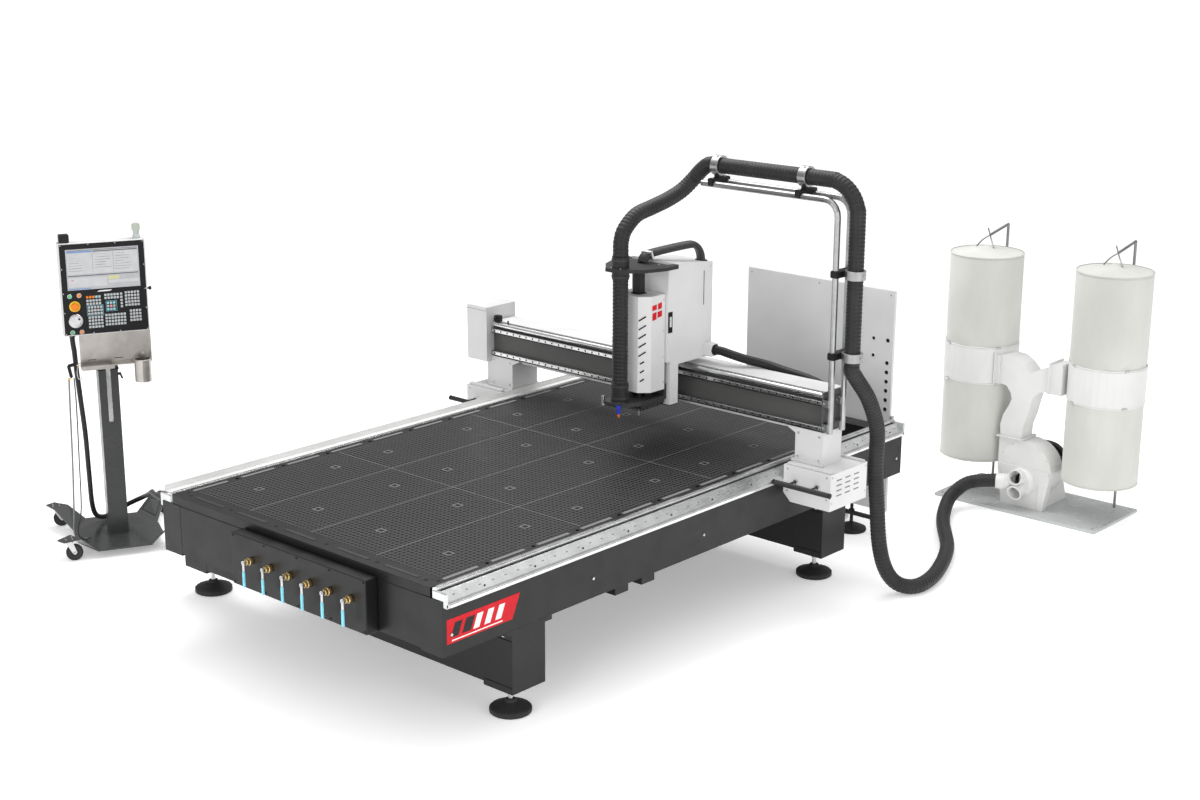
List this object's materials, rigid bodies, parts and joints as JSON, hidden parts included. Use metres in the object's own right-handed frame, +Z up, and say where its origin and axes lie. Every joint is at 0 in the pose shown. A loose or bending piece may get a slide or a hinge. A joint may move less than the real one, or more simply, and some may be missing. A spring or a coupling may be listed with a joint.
{
  "type": "cnc router",
  "caption": "Gantry CNC sheet router with vacuum bed, spindle head, control pendant on casters, cabinet and bag dust collector.",
  "frame": {"origin": "on the floor, under the middle of the footprint of the whole installation", "axes": "+X to the machine's right, +Y to its rear (the cabinet and dust collector stand there), +Z up"},
  "size_m": [5.2534, 5.7643, 2.5475],
  "materials": {
    "charcoal_paint": "semi-gloss powder coat",
    "phenolic_bed": "satin, fine square grid",
    "white_paint": "satin powder coat",
    "beam_grey": "satin",
    "aluminium": "brushed",
    "bright_steel": "ground",
    "stainless": "brushed",
    "brass": "satin",
    "lever_blue": "gloss",
    "black_rubber": "matte",
    "hose_rubber": "ribbed, satin",
    "wheel_rubber": "matte",
    "dark_plastic": "satin",
    "red_plastic": "gloss",
    "green_plastic": "gloss",
    "filter_cloth": "woven felt"
  },
  "bodies": {
    "machine": {"base_frame": "charcoal_paint", "table_bed": "phenolic_bed", "rail_left": "aluminium", "rail_right": "aluminium", "leg_frame_front": "charcoal_paint", "leg_frame_rear": "charcoal_paint", "foot_front_left": "black_rubber", "foot_front_right": "black_rubber", "foot_rear_left": "black_rubber", "foot_rear_right": "black_rubber", "manifold_box": "charcoal_paint", "valve_header": "brass", "cabinet_body": "white_paint", "stand_base": "charcoal_paint", "dust_base": "white_paint", "blower_housing": "white_paint", "blower_motor": "dark_plastic", "bag_frame": "white_paint", "filter_bag_left": "filter_cloth", "filter_bag_right": "filter_cloth", "dust_bag_left": "filter_cloth", "dust_bag_right": "filter_cloth", "hose_floor": "hose_rubber"},
    "gantry": {"gantry_beam": "beam_grey", "carriage_left": "white_paint", "carriage_right": "white_paint", "hose_mast": "aluminium", "hose_over": "hose_rubber"},
    "saddle": {"z_saddle": "white_paint", "hose_bridge": "hose_rubber"},
    "head": {"spindle_cover": "white_paint", "spindle_motor": "dark_plastic", "dust_shoe": "black_rubber", "hose_drop": "hose_rubber"},
    "spindle": {"spindle_shaft": "bright_steel"},
    "valve_1": {"valve_lever_1": "lever_blue"},
    "valve_2": {"valve_lever_2": "lever_blue"},
    "valve_3": {"valve_lever_3": "lever_blue"},
    "valve_4": {"valve_lever_4": "lever_blue"},
    "valve_5": {"valve_lever_5": "lever_blue"},
    "valve_6": {"valve_lever_6": "lever_blue"},
    "cabinet_door_panel": {"cabinet_door": "white_paint"},
    "bumper_bar_left": {"bumper_left": "dark_plastic"},
    "bumper_bar_right": {"bumper_right": "dark_plastic"},
    "pendant_mast": {"stand_mast": "bright_steel"},
    "pendant_head": {"pendant_housing": "white_paint", "pendant_tray": "stainless"},
    "estop_button_body": {"estop_button": "red_plastic"},
    "jog_wheel_body": {"jog_wheel": "bright_steel"},
    "start_button_body": {"start_button": "green_plastic"},
    "stop_button_body": {"stop_button": "red_plastic"},
    "caster_swivel_front_left": {"caster_fork_front_left": "bright_steel"},
    "caster_roller_front_left": {"caster_wheel_front_left": "wheel_rubber"},
    "caster_swivel_front_right": {"caster_fork_front_right": "bright_steel"},
    "caster_roller_front_right": {"caster_wheel_front_right": "wheel_rubber"},
    "caster_swivel_rear_left": {"caster_fork_rear_left": "bright_steel"},
    "caster_roller_rear_left": {"caster_wheel_rear_left": "wheel_rubber"},
    "caster_swivel_rear_right": {"caster_fork_rear_right": "bright_steel"},
    "caster_roller_rear_right": {"caster_wheel_rear_right": "wheel_rubber"},
    "fan": {"impeller": "bright_steel"}
  },
  "joints": [
    {"name": "gantry_travel", "type": "slide", "parent": "machine", "child": "gantry", "axis": [0, 1, 0], "range_m": [-2.35, 0.75], "deforming": ["hose_floor"]},
    {"name": "saddle_travel", "type": "slide", "parent": "gantry", "child": "saddle", "axis": [1, 0, 0], "range_m": [-1.33, 0.78], "deforming": ["hose_bridge"]},
    {"name": "head_travel", "type": "slide", "parent": "saddle", "child": "head", "axis": [0, 0, 1], "range_m": [-0.17, 0.12]},
    {"name": "spindle_spin", "type": "hinge", "parent": "head", "child": "spindle", "pos_m": [0.8639, -0.3378, 1.1], "axis": [0, 0, 1], "continuous": true},
    {"name": "valve_1_turn", "type": "hinge", "parent": "machine", "child": "valve_1", "pos_m": [0.3889, -2.8721, 0.69], "axis": [0, 1, 0], "range_deg": [0, 90]},
    {"name": "valve_2_turn", "type": "hinge", "parent": "machine", "child": "valve_2", "pos_m": [0.5439, -2.8721, 0.69], "axis": [0, 1, 0], "range_deg": [0, 90]},
    {"name": "valve_3_turn", "type": "hinge", "parent": "machine", "child": "valve_3", "pos_m": [0.6989, -2.8721, 0.69], "axis": [0, 1, 0], "range_deg": [0, 90]},
    {"name": "valve_4_turn", "type": "hinge", "parent": "machine", "child": "valve_4", "pos_m": [0.8539, -2.8721, 0.69], "axis": [0, 1, 0], "range_deg": [0, 90]},
    {"name": "valve_5_turn", "type": "hinge", "parent": "machine", "child": "valve_5", "pos_m": [1.0089, -2.8721, 0.69], "axis": [0, 1, 0], "range_deg": [0, 90]},
    {"name": "valve_6_turn", "type": "hinge", "parent": "machine", "child": "valve_6", "pos_m": [1.1639, -2.8721, 0.69], "axis": [0, 1, 0], "range_deg": [0, 90]},
    {"name": "cabinet_door_swing", "type": "hinge", "parent": "machine", "child": "cabinet_door_panel", "pos_m": [0.4799, 1.6075, 0.9], "axis": [0, 0, 1], "range_deg": [0, 90]},
    {"name": "bumper_left_press", "type": "slide", "parent": "gantry", "child": "bumper_bar_left", "axis": [0, 1, 0], "range_m": [0, 0.03], "stiffness_N_per_m": 400},
    {"name": "bumper_right_press", "type": "slide", "parent": "gantry", "child": "bumper_bar_right", "axis": [0, 1, 0], "range_m": [0, 0.03], "stiffness_N_per_m": 400},
    {"name": "pendant_height", "type": "slide", "parent": "machine", "child": "pendant_mast", "axis": [0, 0, 1], "range_m": [-0.12, 0.12]},
    {"name": "pendant_tilt", "type": "hinge", "parent": "pendant_mast", "child": "pendant_head", "pos_m": [-2.02565, -2.04253, 1.6], "axis": [0.4384, 0.8988, 0], "range_deg": [-15, 5]},
    {"name": "estop_press", "type": "slide", "parent": "pendant_head", "child": "estop_button_body", "axis": [-0.8988, 0.4384, 0], "range_m": [0, 0.006], "stiffness_N_per_m": 300},
    {"name": "jog_turn", "type": "hinge", "parent": "pendant_head", "child": "jog_wheel_body", "pos_m": [-2.00208, -2.25652, 1.48], "axis": [-0.8988, 0.4384, 0], "continuous": true},
    {"name": "start_press", "type": "slide", "parent": "pendant_head", "child": "start_button_body", "axis": [-0.8988, 0.4384, 0], "range_m": [0, 0.004], "stiffness_N_per_m": 300},
    {"name": "stop_press", "type": "slide", "parent": "pendant_head", "child": "stop_button_body", "axis": [-0.8988, 0.4384, 0], "range_m": [0, 0.004], "stiffness_N_per_m": 300},
    {"name": "caster_front_left_swivel", "type": "hinge", "parent": "machine", "child": "caster_swivel_front_left", "pos_m": [-1.94332, -2.45541, 0.13], "axis": [0, 0, 1], "continuous": true},
    {"name": "caster_front_left_roll", "type": "hinge", "parent": "caster_swivel_front_left", "child": "caster_roller_front_left", "pos_m": [-1.93016, -2.42844, 0.0525], "axis": [-0.8988, 0.4384, 0], "continuous": true},
    {"name": "caster_front_right_swivel", "type": "hinge", "parent": "machine", "child": "caster_swivel_front_right", "pos_m": [-1.64961, -1.85322, 0.13], "axis": [0, 0, 1], "continuous": true},
    {"name": "caster_front_right_roll", "type": "hinge", "parent": "caster_swivel_front_right", "child": "caster_roller_front_right", "pos_m": [-1.63646, -1.82625, 0.0525], "axis": [-0.8988, 0.4384, 0], "continuous": true},
    {"name": "caster_rear_left_swivel", "type": "hinge", "parent": "machine", "child": "caster_swivel_rear_left", "pos_m": [-2.56348, -2.15293, 0.13], "axis": [0, 0, 1], "continuous": true},
    {"name": "caster_rear_left_roll", "type": "hinge", "parent": "caster_swivel_rear_left", "child": "caster_roller_rear_left", "pos_m": [-2.55033, -2.12597, 0.0525], "axis": [-0.8988, 0.4384, 0], "continuous": true},
    {"name": "caster_rear_right_swivel", "type": "hinge", "parent": "machine", "child": "caster_swivel_rear_right", "pos_m": [-2.26978, -1.55074, 0.13], "axis": [0, 0, 1], "continuous": true},
    {"name": "caster_rear_right_roll", "type": "hinge", "parent": "caster_swivel_rear_right", "child": "caster_roller_rear_right", "pos_m": [-2.25662, -1.52378, 0.0525], "axis": [-0.8988, 0.4384, 0], "continuous": true},
    {"name": "fan_spin", "type": "hinge", "parent": "machine", "child": "fan", "pos_m": [1.9089, 2.5422, 0.275], "axis": [0, 1, 0], "continuous": true}
  ]
}
